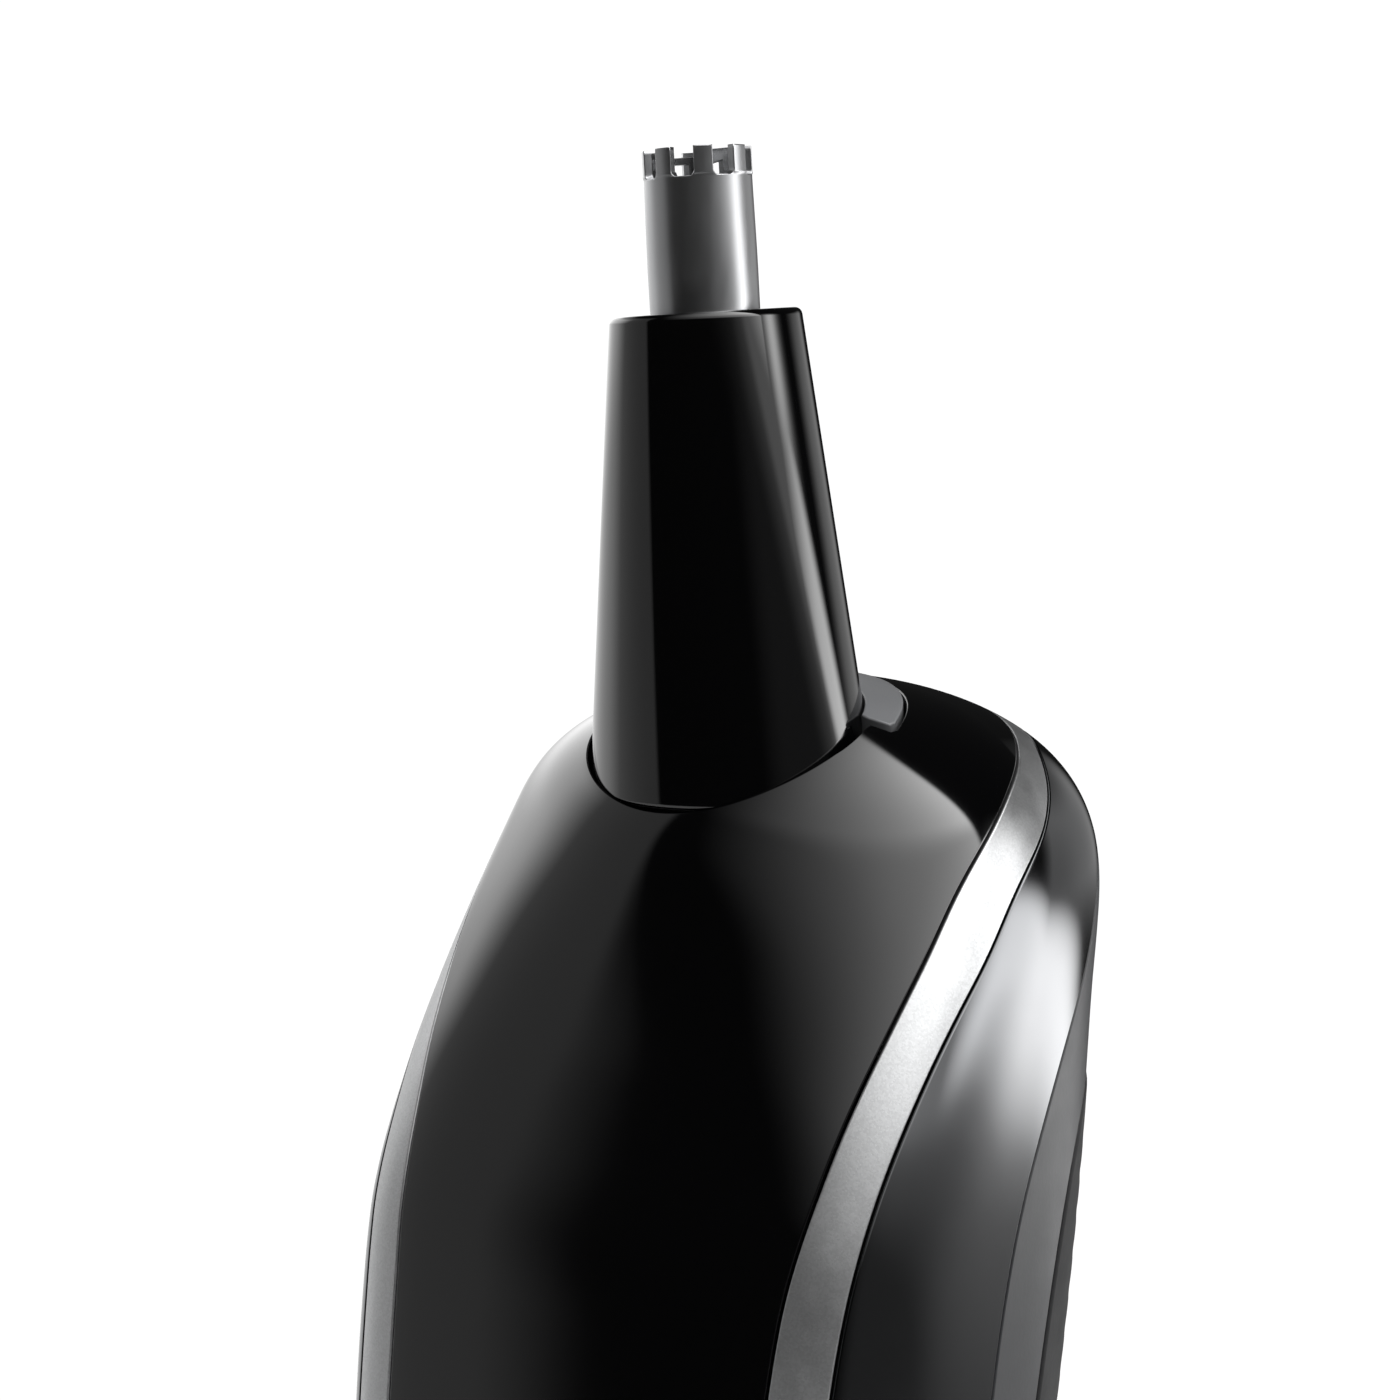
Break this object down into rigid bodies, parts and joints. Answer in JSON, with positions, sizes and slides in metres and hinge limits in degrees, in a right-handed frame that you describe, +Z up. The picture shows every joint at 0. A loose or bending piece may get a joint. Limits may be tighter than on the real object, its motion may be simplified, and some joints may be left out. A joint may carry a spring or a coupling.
{
  "type": "nose hair trimmer",
  "caption": "Nose hair trimmer: a slotted steel tube with a rotary cutter on a tapered cone, plugged into a cordless handle with a slide switch.",
  "frame": {"origin": "centre of the handle's flat base", "axes": "+Z up along the handle, -Y towards the switch side (front), +X towards the right-hand side of the front view"},
  "size_m": [0.042, 0.0379, 0.1725],
  "materials": {
    "gloss_black": "polished, near-black",
    "button_black": "fine satin texture",
    "dark_gloss": "glossy dark grey",
    "satin_grey": "satin dark grey",
    "grip_rubber": "soft matte",
    "silver_paint": "fine metallic flake",
    "tab_grey": "satin mid grey",
    "guard_steel": "fine turned satin",
    "blade_steel": "ground",
    "motor_steel": "plated",
    "brass": "satin",
    "white_plastic": "natural moulded",
    "cell_wrap": "shrink wrap",
    "board_green": "coated board",
    "black_plastic": "moulded",
    "red_plastic": "wire insulation",
    "clear_lens": "frosted clear"
  },
  "bodies": {
    "handle": {"front_panel": "gloss_black", "silver_trim": "silver_paint", "side_shell": "dark_gloss", "rear_cover": "satin_grey", "rear_grip": "grip_rubber", "bottom_cap": "satin_grey", "switch_ring": "silver_paint", "light_pipe": "clear_lens", "charge_lamp": "clear_lens", "chassis": "white_plastic", "battery_cell": "cell_wrap", "battery_tab_lower": "blade_steel", "battery_tab_upper": "blade_steel", "circuit_board": "board_green", "switch_contacts": "brass", "capacitor": "black_plastic", "charge_chip": "black_plastic", "charging_socket": "black_plastic", "socket_pin_left": "brass", "socket_pin_right": "brass", "motor_wire_red": "red_plastic", "motor_wire_black": "black_plastic", "case_screw_lower": "blade_steel", "case_screw_upper": "blade_steel", "neck_seat": "white_plastic", "neck_seal": "grip_rubber", "head_catch_left": "blade_steel", "head_catch_right": "blade_steel", "motor_can": "motor_steel", "motor_mount": "white_plastic", "motor_ring": "grip_rubber", "motor_end_cap": "white_plastic", "motor_screw_left": "blade_steel", "motor_screw_right": "blade_steel", "motor_terminal_left": "brass", "motor_terminal_right": "brass"},
    "head": {"cone_shell": "gloss_black", "head_base": "tab_grey", "guard_tube": "guard_steel", "tube_collar": "white_plastic", "bearing_bush": "brass"},
    "cutter": {"cutter_blade": "blade_steel", "cutter_shaft": "white_plastic", "thrust_washer": "brass", "cutter_spring": "blade_steel", "drive_fork": "white_plastic"},
    "drive": {"motor_shaft": "blade_steel", "eccentric_hub": "white_plastic", "crank_pin": "blade_steel"},
    "switch": {"slide_button": "button_black", "switch_slider": "white_plastic"}
  },
  "joints": [
    {"name": "head_release", "type": "slide", "parent": "handle", "child": "head", "axis": [0, -0.2079, 0.9781], "range_m": [0, 0.03]},
    {"name": "cutter_spin", "type": "hinge", "parent": "head", "child": "cutter", "pos_m": [0, -0.011, 0.162], "axis": [0, -0.2079, 0.9781], "continuous": true},
    {"name": "motor_spin", "type": "hinge", "parent": "handle", "child": "drive", "pos_m": [0, -0.011, 0.162], "axis": [0, -0.2079, 0.9781], "continuous": true},
    {"name": "power_slide", "type": "slide", "parent": "handle", "child": "switch", "axis": [0, 0, 1], "range_m": [0, 0.005]}
  ],
  "couplings": [
    {"joint": "cutter_spin", "follows": "motor_spin", "ratio": 1}
  ]
}
